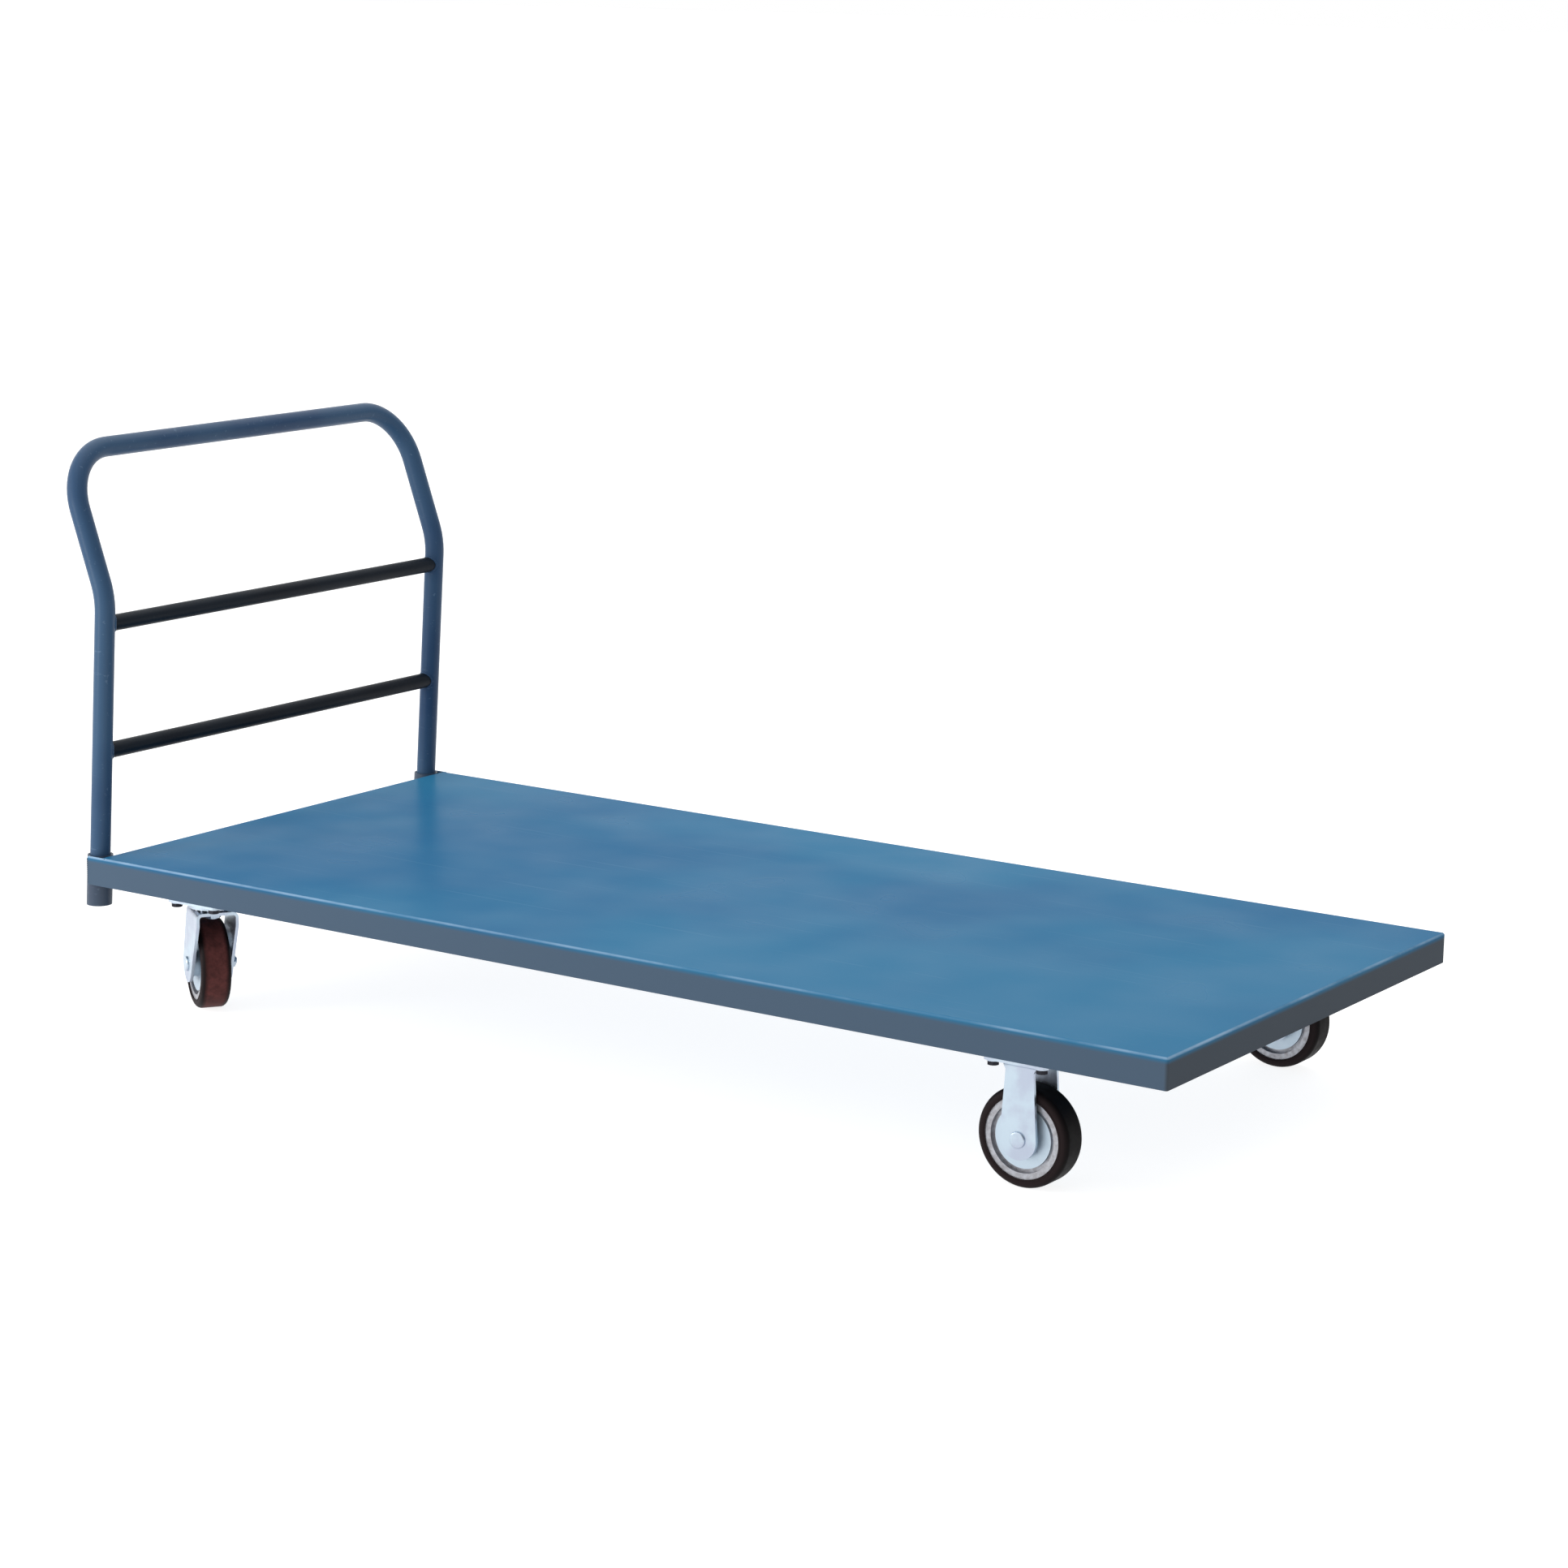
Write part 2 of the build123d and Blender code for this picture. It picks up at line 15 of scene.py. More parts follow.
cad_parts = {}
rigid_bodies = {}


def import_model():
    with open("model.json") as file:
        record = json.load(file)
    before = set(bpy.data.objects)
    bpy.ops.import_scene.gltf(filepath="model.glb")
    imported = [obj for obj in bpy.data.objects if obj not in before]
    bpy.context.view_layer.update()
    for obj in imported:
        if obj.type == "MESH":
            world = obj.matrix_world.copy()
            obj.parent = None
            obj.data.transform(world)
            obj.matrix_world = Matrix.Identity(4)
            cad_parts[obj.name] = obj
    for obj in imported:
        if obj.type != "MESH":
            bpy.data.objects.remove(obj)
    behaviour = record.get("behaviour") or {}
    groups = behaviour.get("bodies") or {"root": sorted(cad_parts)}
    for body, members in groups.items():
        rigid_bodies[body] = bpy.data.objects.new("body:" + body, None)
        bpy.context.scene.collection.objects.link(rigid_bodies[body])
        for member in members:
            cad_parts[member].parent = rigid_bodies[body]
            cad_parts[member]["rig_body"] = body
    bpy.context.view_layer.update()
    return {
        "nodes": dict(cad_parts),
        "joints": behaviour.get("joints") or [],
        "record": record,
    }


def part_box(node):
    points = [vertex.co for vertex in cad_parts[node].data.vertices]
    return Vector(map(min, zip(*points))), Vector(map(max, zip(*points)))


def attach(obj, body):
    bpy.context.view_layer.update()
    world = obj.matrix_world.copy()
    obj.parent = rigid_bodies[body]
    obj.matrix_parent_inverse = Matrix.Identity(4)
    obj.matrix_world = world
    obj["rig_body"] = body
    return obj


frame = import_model()
nodes = frame["nodes"]

# %% [markdown]
# ## Landmarks
#
# Places are read from the CAD boxes and joints, and only a size that no box gives is written down. The deck's
# side skirts run on past the handle end as short ears, so the middle of the deck is found from its free end.

# %% Read the landmarks
MM = 0.001
DECK_LENGTH = 2000 * MM
deck_low, deck_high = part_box("deck_sheet")
deck_top = deck_high.z
free_end = deck_high.x
handle_end = free_end - DECK_LENGTH
deck_middle = Vector((free_end - DECK_LENGTH / 2, 0, deck_top))
deck_half_width = deck_high.y
print("deck middle:", [round(value, 4) for value in deck_middle])

wheel_joints = {}
for joint in frame["joints"]:
    if joint["name"].endswith("_wheel_spin"):
        wheel_joints[joint["child"]] = (Vector(joint["pos_m"]), Vector(joint["axis"]).normalized())
print("wheels:", sorted(wheel_joints))

# %% [markdown]
# ## The camera
#
# A long lens a few metres away keeps the deck's long edges nearly parallel. The camera stands to the right of
# the free end and looks down on the deck by about 12 degrees. Its place is given from the middle of the deck's
# top, and its turn by the directions of its right, up and back.

# %% Set up the camera
FROM_DECK_MIDDLE = Vector((3.4909, -5.1252, 1.4823))
CAMERA_RIGHT = (0.82871, 0.55947, 0.01535)
CAMERA_UP = (-0.12732, 0.16175, 0.97858)
CAMERA_BACK = (0.54500, -0.81292, 0.20528)

camera_data = bpy.data.cameras.new("camera")
camera_data.lens = 91.15
camera_data.sensor_width = 36
camera_data.clip_end = 300
camera = bpy.data.objects.new("camera", camera_data)
bpy.context.scene.collection.objects.link(camera)
turn = Matrix((CAMERA_RIGHT, CAMERA_UP, CAMERA_BACK)).transposed()
camera.matrix_world = Matrix.Translation(deck_middle + FROM_DECK_MIDDLE) @ turn.to_4x4()
bpy.context.scene.camera = camera
print("camera at:", [round(value, 3) for value in camera.location])

# %% [markdown]
# ## Colours and nodes
#
# A colour is given as an sRGB hex value, but shaders work with linear light, so one function converts
# them. A second small function adds a node with its settings and links, and every tree below is built with it.
# A setting whose name is an input is put on that input, and a pair of node and output name is linked to it.

# %% Define the colour and node functions
def linear(hex_colour):
    """An sRGB hex colour as four linear numbers."""
    channels = []
    for start in (0, 2, 4):
        value = int(hex_colour[start : start + 2], 16) / 255
        channels.append(value / 12.92 if value <= 0.04045 else ((value + 0.055) / 1.055) ** 2.4)
    return (*channels, 1.0)


def add(tree, kind, inputs=None, **settings):
    """Adds a node of a kind, with its settings, and its inputs set or linked by name or number."""
    node = tree.nodes.new(kind)
    for name, value in settings.items():
        setattr(node, name, value)
    for name, value in (inputs or {}).items():
        if isinstance(value, tuple) and isinstance(value[0], bpy.types.Node):
            tree.links.new(value[0].outputs[value[1]], node.inputs[name])
        else:
            node.inputs[name].default_value = value
    return node


def new_material(name, metallic, ior=None):
    """A material with a Principled shader, its tree and its Object coordinates."""
    material = bpy.data.materials.new(name)
    material.use_nodes = True
    tree = material.node_tree
    shader = tree.nodes["Principled BSDF"]
    shader.inputs["Metallic"].default_value = metallic
    if ior:
        shader.inputs["IOR"].default_value = ior
    place = add(tree, "ShaderNodeTexCoord")
    return material, tree, shader, place


# %% [markdown]
# ## Stove enamel
#
# The deck, frame and handle are sprayed with polyester enamel and baked. Close up, such a coat has the fine
# dimples of orange peel. Over a large sheet its colour drifts a little in soft clouds, use leaves fine scuffs
# that run mostly along the deck, and dust settles as a duller film. The dimples are about 1.5 mm apart on the
# real coat, too fine to show from here, so they are drawn 5 mm apart on the pipes. A large sheet shows the coat's
# longer waves instead, some 20 mm apart. The IOR of a polyester coat is about 1.5.
#
# The patterns read Object coordinates, which for these pieces are metres from the truck's own origin.

# %% Define the enamel
FILM_PER_METRE = 6.0
SCUFFS_PER_METRE = (3.0, 160.0, 160.0)
SCUFF_TURN = 0.12
PEEL_HEIGHT = 0.3 * MM


def enamel(name, main, cloud, scuff, rough, cloud_size, scuff_amount, gloss, wave=5 * MM):
    """Baked enamel: two close shades in clouds, thin pale scuffs, a dust film and orange peel."""
    material, tree, shader, place = new_material(name, metallic=0.0, ior=1.5)
    shader.inputs["Specular IOR Level"].default_value = gloss
    clouds = add(
        tree, "ShaderNodeTexNoise",
        {"Vector": (place, "Object"), "Scale": 1 / cloud_size, "Detail": 3.0, "Roughness": 0.45},
    )
    drift = add(
        tree, "ShaderNodeMapRange",
        {"Value": (clouds, "Fac"), "From Min": 0.35, "From Max": 0.65}, interpolation_type="SMOOTHSTEP",
    )
    colour = add(
        tree, "ShaderNodeMix",
        {"Factor": (drift, "Result"), 6: linear(main), 7: linear(cloud)}, data_type="RGBA",
    )
    stretched = add(
        tree, "ShaderNodeMapping",
        {"Vector": (place, "Object"), "Rotation": (0.0, 0.0, SCUFF_TURN), "Scale": SCUFFS_PER_METRE},
    )
    lines = add(tree, "ShaderNodeTexNoise", {"Vector": (stretched, "Vector"), "Scale": 1.0, "Detail": 2.0})
    thin = add(
        tree, "ShaderNodeMapRange",
        {"Value": (lines, "Fac"), "From Min": 0.66, "From Max": 0.74, "To Max": scuff_amount},
    )
    scuffed = add(
        tree, "ShaderNodeMix",
        {"Factor": (thin, "Result"), 6: (colour, 2), 7: linear(scuff)}, data_type="RGBA",
    )
    film = add(
        tree, "ShaderNodeTexNoise",
        {"Vector": (place, "Object"), "Scale": FILM_PER_METRE, "Detail": 1.5, "Roughness": 0.5},
    )
    roughness = add(
        tree, "ShaderNodeMapRange",
        {"Value": (film, "Fac"), "From Min": 0.25, "From Max": 0.75, "To Min": rough - 0.05, "To Max": rough + 0.12},
    )
    peel = add(
        tree, "ShaderNodeTexNoise",
        {"Vector": (place, "Object"), "Scale": 1 / wave, "Detail": 1.0},
    )
    bump = add(tree, "ShaderNodeBump", {"Height": (peel, "Fac"), "Strength": 0.03, "Distance": PEEL_HEIGHT})
    tree.links.new(scuffed.outputs[2], shader.inputs["Base Color"])
    tree.links.new(roughness.outputs["Result"], shader.inputs["Roughness"])
    tree.links.new(bump.outputs["Normal"], shader.inputs["Normal"])
    return material, tree, shader, place, scuffed


# %% Make the frame's and the handle's enamels
finishes = {}
finishes["frame_enamel"] = enamel(
    "stove_enamel_frame", main="2E3B4E", cloud="374657", scuff="647284",
    rough=0.4, cloud_size=0.25, scuff_amount=0.2, gloss=0.3,
)[0]
finishes["handle_enamel"] = enamel(
    "stove_enamel_handle", main="2A4260", cloud="36506B", scuff="6B8299",
    rough=0.3, cloud_size=0.22, scuff_amount=0.25, gloss=0.12,
)[0]
# The crossbars take a darker copy of the handle's enamel: painted shade, for the shadow they stand in.
finishes["crossbar_enamel"] = enamel(
    "stove_enamel_crossbar", main="0B121B", cloud="101923", scuff="252E39",
    rough=0.42, cloud_size=0.2, scuff_amount=0.2, gloss=0.1,
)[0]
print("enamels:", sorted(finishes))

# %% [markdown]
# Loads scour the deck matt, so it mirrors little even at a flat angle. Its skirts are painted greyer than the top,
# and darker still at the free end: this is painted shade, for the light that the upright faces miss. A point is on a
# skirt where it lies well below the deck's top, and on the free end's skirt where it also lies half a deck's length
# from the middle.

# %% Make the deck's enamel and paint shade on its skirts
FOLD = 4 * MM
HALF_DECK = DECK_LENGTH / 2

deck_enamel, tree, shader, place, scuffed = enamel(
    "stove_enamel_deck", main="1C5C84", cloud="2A698D", scuff="6F94AE",
    rough=0.3, cloud_size=0.55, scuff_amount=0.12, gloss=0.01, wave=20 * MM,
)
axes = add(tree, "ShaderNodeSeparateXYZ", {"Vector": (place, "Object")})
below_top = add(
    tree, "ShaderNodeMapRange",
    {"Value": (axes, "Z"), "From Min": deck_top - 0.6 * FOLD, "From Max": deck_top - 2.5 * FOLD},
)
from_middle = add(tree, "ShaderNodeMath", {0: (axes, "X"), 1: deck_middle.x}, operation="SUBTRACT")
on_end_skirt = add(
    tree, "ShaderNodeMapRange",
    {"Value": (from_middle, 0), "From Min": HALF_DECK - 1.5 * FOLD, "From Max": HALF_DECK - 0.2 * FOLD},
)
# Painted shade: the side skirts are greyer than the deck's top, and the free end's skirt is darker still.
skirt_painted_shade = add(
    tree, "ShaderNodeMix",
    {"Factor": (on_end_skirt, "Result"), 6: linear("485869"), 7: linear("424951")}, data_type="RGBA",
)
deck_with_painted_skirt_shade = add(
    tree, "ShaderNodeMix",
    {"Factor": (below_top, "Result"), 6: (scuffed, 2), 7: (skirt_painted_shade, 2)}, data_type="RGBA",
)
finishes["deck_enamel"] = deck_enamel
print("deck enamel nodes:", len(tree.nodes))

# %% [markdown]
# A pale line is painted along the folds: a painted highlight for the light that the rounded bends catch. A point is
# on a fold where it is near the deck's top and near one of its four sides as well. A coarse noise breaks the line up
# into patches.

# %% Paint a highlight along the folds
FOLD_HIGHLIGHT_PATCHES_PER_METRE = 6.0

sideways = add(tree, "ShaderNodeMath", {0: (axes, "Y")}, operation="ABSOLUTE")
lengthways = add(tree, "ShaderNodeMath", {0: (from_middle, 0)}, operation="ABSOLUTE")
on_side = add(
    tree, "ShaderNodeMapRange",
    {"Value": (sideways, 0), "From Min": deck_half_width - FOLD, "From Max": deck_half_width - 0.4 * FOLD},
)
on_end = add(
    tree, "ShaderNodeMapRange",
    {"Value": (lengthways, 0), "From Min": HALF_DECK - FOLD, "From Max": HALF_DECK - 0.4 * FOLD},
)
on_edge = add(tree, "ShaderNodeMath", {0: (on_side, 0), 1: (on_end, 0)}, operation="MAXIMUM")
near_top = add(
    tree, "ShaderNodeMapRange",
    {"Value": (axes, "Z"), "From Min": deck_top - FOLD, "From Max": deck_top - 0.4 * FOLD},
)
on_fold = add(tree, "ShaderNodeMath", {0: (on_edge, 0), 1: (near_top, 0)}, operation="MULTIPLY")
patches = add(
    tree, "ShaderNodeTexNoise",
    {"Vector": (place, "Object"), "Scale": FOLD_HIGHLIGHT_PATCHES_PER_METRE, "Detail": 5.0},
)
patchy = add(
    tree, "ShaderNodeMapRange",
    {"Value": (patches, "Fac"), "From Min": 0.4, "From Max": 0.65, "To Min": 0.15, "To Max": 0.8},
)
fold_painted_highlight = add(tree, "ShaderNodeMath", {0: (on_fold, 0), 1: (patchy, 0)}, operation="MULTIPLY")
# Painted highlight: a pale blue line along the folds, where the rounded bends catch the light.
deck_colour_with_painted_highlight = add(
    tree, "ShaderNodeMix",
    {"Factor": (fold_painted_highlight, 0), 6: (deck_with_painted_skirt_shade, 2), 7: linear("93ADC6")}, data_type="RGBA",
)
tree.links.new(deck_colour_with_painted_highlight.outputs[2], shader.inputs["Base Color"])
print("deck enamel nodes with painted fold highlight:", len(tree.nodes))

# %% [markdown]
# ## Zinc plate
#
# Caster forks, brackets and bolts are steel with a bright zinc plate and a clear blue passivate. It is a metal,
# so its colour sits in its reflection. The plate is smooth but never mirror-like: the sheet's rolling marks stay
# visible as faint upright lines, the passivate drifts between blue-white and lavender, and handling leaves dull
# patches. Rolling marks are some 0.2 mm apart, and are drawn 1.5 mm apart so that they show.

# %% Make the plated and the ground metals
TINTS_PER_METRE = 22.0
DULL_PATCHES_PER_METRE = 45.0
MARK_ENDS_PER_METRE = 12.0


def plated_metal(name, main, drifted, rough, mark_spacing, mark_height):
    """Metal with a drifting tint, upright rolling marks and dull patches."""
    material, tree, shader, place = new_material(name, metallic=1.0)
    drift = add(
        tree, "ShaderNodeTexNoise",
        {"Vector": (place, "Object"), "Scale": TINTS_PER_METRE, "Detail": 4.0, "Roughness": 0.5},
    )
    share = add(
        tree, "ShaderNodeMapRange",
        {"Value": (drift, "Fac"), "From Min": 0.38, "From Max": 0.62}, interpolation_type="SMOOTHSTEP",
    )
    colour = add(
        tree, "ShaderNodeMix",
        {"Factor": (share, "Result"), 6: linear(main), 7: linear(drifted)}, data_type="RGBA",
    )
    upright = add(
        tree, "ShaderNodeMapping",
        {"Vector": (place, "Object"), "Scale": (1 / mark_spacing, 1 / mark_spacing, MARK_ENDS_PER_METRE)},
    )
    marks = add(tree, "ShaderNodeTexNoise", {"Vector": (upright, "Vector"), "Scale": 1.0, "Detail": 3.0})
    dull = add(
        tree, "ShaderNodeTexNoise",
        {"Vector": (place, "Object"), "Scale": DULL_PATCHES_PER_METRE, "Detail": 5.0, "Roughness": 0.65},
    )
    both = add(tree, "ShaderNodeMath", {0: (marks, "Fac"), 1: (dull, "Fac")}, operation="MULTIPLY")
    roughness = add(
        tree, "ShaderNodeMapRange",
        {"Value": (both, 0), "From Min": 0.12, "From Max": 0.4, "To Min": rough - 0.08, "To Max": rough + 0.14},
    )
    bump = add(tree, "ShaderNodeBump", {"Height": (marks, "Fac"), "Strength": 0.25, "Distance": mark_height})
    tree.links.new(colour.outputs[2], shader.inputs["Base Color"])
    tree.links.new(roughness.outputs["Result"], shader.inputs["Roughness"])
    tree.links.new(bump.outputs["Normal"], shader.inputs["Normal"])
    return material


finishes["zinc_plate"] = plated_metal("zinc_plate", "B9C8D4", "AFB8C8", 0.34, 1.5 * MM, 0.05 * MM)
finishes["black_oxide"] = plated_metal("black_oxide_steel", "33343A", "26262B", 0.42, 1.0 * MM, 0.04 * MM)
finishes["bearing_steel"] = plated_metal("ground_bearing_steel", "B4B6BC", "A2A5AD", 0.26, 0.8 * MM, 0.02 * MM)
print("finishes:", sorted(finishes))

# %% [markdown]
# ## Cast and turned wheel cores
#
# The cores are cast iron, turned on a lathe. Their stepped rims stay a warm grey, and the disc inside the groove
# is bright like the brackets. A turned face shows rings about the axle.
# A ring pattern needs each wheel's own axle: the length of the cross product of a point's offset from the axle
# with the axle's direction is its distance from the axle. So there is one material for each wheel. The cut is
# about 0.3 mm wide on the real core and is drawn 1.6 mm wide.

# %% Define the distance from an axle
def from_axle(tree, place, centre, axle):
    """A point's offset from a wheel's centre, and its distance from the axle."""
    offset = add(
        tree, "ShaderNodeVectorMath", {0: (place, "Object"), 1: tuple(centre)}, operation="SUBTRACT"
    )
    across = add(tree, "ShaderNodeVectorMath", {0: (offset, 0), 1: tuple(axle)}, operation="CROSS_PRODUCT")
    return offset, add(tree, "ShaderNodeVectorMath", {0: (across, 0)}, operation="LENGTH")


# %% Define the wheel cores' material
CUT_WIDTH = 1.6 * MM
DISC_RADIUS = 46 * MM
DISC_EDGE = 0.5 * MM
CAST_GRAINS_PER_METRE = 130.0


def turned_iron(name, centre, axle):
    """Cast iron with turning rings about one axle, grime in its grain, and a bright plated disc."""
    material, tree, shader, place = new_material(name, metallic=0.85)
    radius = from_axle(tree, place, centre, axle)[1]
    phase = add(tree, "ShaderNodeMath", {0: (radius, "Value"), 1: math.tau / CUT_WIDTH}, operation="MULTIPLY")
    rings = add(tree, "ShaderNodeMath", {0: (phase, 0)}, operation="SINE")
    grain = add(
        tree, "ShaderNodeTexNoise",
        {"Vector": (place, "Object"), "Scale": CAST_GRAINS_PER_METRE, "Detail": 6.0, "Roughness": 0.7},
    )
    grime = add(
        tree, "ShaderNodeMapRange", {"Value": (grain, "Fac"), "From Min": 0.4, "From Max": 0.7},
    )
    colour = add(
        tree, "ShaderNodeMix",
        {"Factor": (grime, "Result"), 6: linear("AEB0B6"), 7: linear("8A878A")}, data_type="RGBA",
    )
    outside_disc = add(
        tree, "ShaderNodeMapRange",
        {"Value": (radius, "Value"), "From Min": DISC_RADIUS - DISC_EDGE, "From Max": DISC_RADIUS + DISC_EDGE},
    )
    colour = add(
        tree, "ShaderNodeMix",
        {"Factor": (outside_disc, "Result"), 6: linear("B9C8D4"), 7: (colour, 2)}, data_type="RGBA",
    )
    roughness = add(
        tree, "ShaderNodeMapRange",
        {"Value": (grain, "Fac"), "From Min": 0.3, "From Max": 0.7, "To Min": 0.34, "To Max": 0.52},
    )
    height = add(tree, "ShaderNodeMath", {0: (rings, 0), 1: (grain, "Fac")}, operation="ADD")
    bump = add(tree, "ShaderNodeBump", {"Height": (height, 0), "Strength": 0.3, "Distance": 0.05 * MM})
    tree.links.new(colour.outputs[2], shader.inputs["Base Color"])
    tree.links.new(roughness.outputs["Result"], shader.inputs["Roughness"])
    tree.links.new(bump.outputs["Normal"], shader.inputs["Normal"])
    return material


# %% [markdown]
# ## Moulded rubber
#
# Black rubber is never quite black. Its tread picks up brownish dust, while its sides keep the satin of the
# mould. The swivel wheels scrub as they turn, so their treads are the reddest. The dust needs the distance from
# the axle as well: it is on the outermost few millimetres, and thickest along the middle of the tread. Rubber has
# an IOR of about 1.52. Its grain is some 0.3 mm and is drawn 1.2 mm wide.

# %% Define the tyres' material
TREAD_RADIUS = 75 * MM
DUST_DEPTH = 6 * MM
DUST_FADE = 0.5 * MM
DUST_EDGE = 21 * MM
DUST_FULL = 14 * MM
SPECKS_PER_METRE = 60.0
GRAIN_WIDTH = 1.2 * MM


def moulded_rubber(name, centre, axle, dusty):
    """Black rubber with a fine grain, and dust of a colour along the middle of its tread."""
    material, tree, shader, place = new_material(name, metallic=0.0, ior=1.52)
    shader.inputs["Specular IOR Level"].default_value = 0.05
    offset, radius = from_axle(tree, place, centre, axle)
    on_tread = add(
        tree, "ShaderNodeMapRange",
        {"Value": (radius, "Value"), "From Min": TREAD_RADIUS - DUST_DEPTH, "From Max": TREAD_RADIUS - DUST_FADE},
    )
    specks = add(
        tree, "ShaderNodeTexNoise",
        {"Vector": (place, "Object"), "Scale": SPECKS_PER_METRE, "Detail": 8.0, "Roughness": 0.7},
    )
    speckled = add(
        tree, "ShaderNodeMapRange", {"Value": (specks, "Fac"), "From Min": 0.3, "From Max": 0.7, "To Min": 0.3},
    )
    sideways = add(tree, "ShaderNodeVectorMath", {0: (offset, 0), 1: tuple(axle)}, operation="DOT_PRODUCT")
    from_middle = add(tree, "ShaderNodeMath", {0: (sideways, "Value")}, operation="ABSOLUTE")
    in_middle = add(
        tree, "ShaderNodeMapRange",
        {"Value": (from_middle, 0), "From Min": DUST_EDGE, "From Max": DUST_FULL},
    )
    dust = add(tree, "ShaderNodeMath", {0: (in_middle, 0), 1: (speckled, 0)}, operation="MULTIPLY")
    tread_colour = add(
        tree, "ShaderNodeMix",
        {"Factor": (dust, 0), 6: linear("0D0A0B"), 7: linear(dusty)}, data_type="RGBA",
    )
    colour = add(
        tree, "ShaderNodeMix",
        {"Factor": (on_tread, 0), 6: linear("221A1B"), 7: (tread_colour, 2)}, data_type="RGBA",
    )
    roughness = add(
        tree, "ShaderNodeMapRange",
        {"Value": (specks, "Fac"), "From Min": 0.3, "From Max": 0.7, "To Min": 0.42, "To Max": 0.62},
    )
    grain = add(
        tree, "ShaderNodeTexNoise", {"Vector": (place, "Object"), "Scale": 1 / GRAIN_WIDTH, "Detail": 2.0}
    )
    bump = add(tree, "ShaderNodeBump", {"Height": (grain, "Fac"), "Strength": 0.2, "Distance": 0.1 * MM})
    tree.links.new(colour.outputs[2], shader.inputs["Base Color"])
    tree.links.new(roughness.outputs["Result"], shader.inputs["Roughness"])
    tree.links.new(bump.outputs["Normal"], shader.inputs["Normal"])
    return material


# %% [markdown]
# ## Finishes on the CAD nodes
#
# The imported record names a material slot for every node. Most slots have one finish, but a core or a tyre takes the
# one made for its own wheel, which is the body that it rides on.

# %% Give every CAD node its finish
core_finish = {}
rubber_finish = {}
for wheel, (centre, axle) in wheel_joints.items():
    core_finish[wheel] = turned_iron(f"turned_cast_iron_{wheel}", centre, axle)
    dusty = "5C3331" if wheel.startswith("rear") else "0E0B0C"
    rubber_finish[wheel] = moulded_rubber(f"moulded_rubber_{wheel}", centre, axle, dusty)

for part in frame["record"]["subparts"]:
    piece = nodes[part["node"]]
    finish = finishes.get(part["material_slot"])
    if part["material_slot"] == "wheel_core":
        finish = core_finish[piece["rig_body"]]
    if part["material_slot"] == "tyre_rubber":
        finish = rubber_finish[piece["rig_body"]]
    piece.data.materials.clear()
    piece.data.materials.append(finish)

# %% [markdown]
# ## A bead that follows a path
#
# Weld beads, mould lines and bolt threads are all a thin round bead along a path. On a weld, each pulse of the
# arc leaves a ripple. Geometry Nodes turn paths into beads: they resample each path, swell the radius with a
# sine of the length run so far, and sweep a small circle along it. The paths are plain edges in a mesh, and the
# named inputs give the bead its radius, its ripple and its finish.

# %% Build the bead tree
SIDES = 8


def bead_tree():
    """A node tree from edges to beads."""
    tree = bpy.data.node_groups.new("bead_on_path", "GeometryNodeTree")
    face = tree.interface
    face.new_socket("Geometry", in_out="INPUT", socket_type="NodeSocketGeometry")
    for name in ("Bead radius", "Ripple pitch", "Ripple share", "Step"):
        face.new_socket(name, in_out="INPUT", socket_type="NodeSocketFloat")
    face.new_socket("Finish", in_out="INPUT", socket_type="NodeSocketMaterial")
    face.new_socket("Geometry", in_out="OUTPUT", socket_type="NodeSocketGeometry")

    given = add(tree, "NodeGroupInput")
    path = add(tree, "GeometryNodeMeshToCurve", {"Mesh": (given, "Geometry")})
    fine = add(
        tree, "GeometryNodeResampleCurve",
        {"Curve": (path, "Curve"), "Length": (given, "Step")}, mode="LENGTH",
    )
    along = add(tree, "GeometryNodeSplineParameter")
    turns = add(tree, "ShaderNodeMath", {0: (along, "Length"), 1: (given, "Ripple pitch")}, operation="DIVIDE")
    phase = add(tree, "ShaderNodeMath", {0: (turns, 0), 1: math.tau}, operation="MULTIPLY")
    wave = add(tree, "ShaderNodeMath", {0: (phase, 0)}, operation="SINE")
    swell = add(tree, "ShaderNodeMath", {0: (wave, 0), 1: (given, "Ripple share")}, operation="MULTIPLY")
    share = add(tree, "ShaderNodeMath", {0: (swell, 0), 1: 1.0}, operation="ADD")
    radius = add(tree, "ShaderNodeMath", {0: (share, 0), 1: (given, "Bead radius")}, operation="MULTIPLY")
    sized = add(tree, "GeometryNodeSetCurveRadius", {"Curve": (fine, "Curve"), "Radius": (radius, 0)})
    circle = add(tree, "GeometryNodeCurvePrimitiveCircle", {"Resolution": SIDES, "Radius": 1.0})
    sweep = add(
        tree, "GeometryNodeCurveToMesh",
        {"Curve": (sized, "Curve"), "Profile Curve": (circle, "Curve"), "Fill Caps": True},
    )
    if "Scale" in sweep.inputs:
        tree.links.new(radius.outputs[0], sweep.inputs["Scale"])
    smooth = add(tree, "GeometryNodeSetShadeSmooth", {"Geometry": (sweep, "Mesh")})
    real = add(tree, "GeometryNodeRealizeInstances", {"Geometry": (smooth, "Geometry")})
    painted = add(tree, "GeometryNodeSetMaterial", {"Geometry": (real, "Geometry"), "Material": (given, "Finish")})
    add(tree, "NodeGroupOutput", {"Geometry": (painted, "Geometry")})
    return tree


beads = bead_tree()
input_ids = {}
for socket in beads.interface.items_tree:
    if socket.in_out == "INPUT":
        input_ids[socket.name] = socket.identifier
print("bead inputs:", sorted(input_ids))
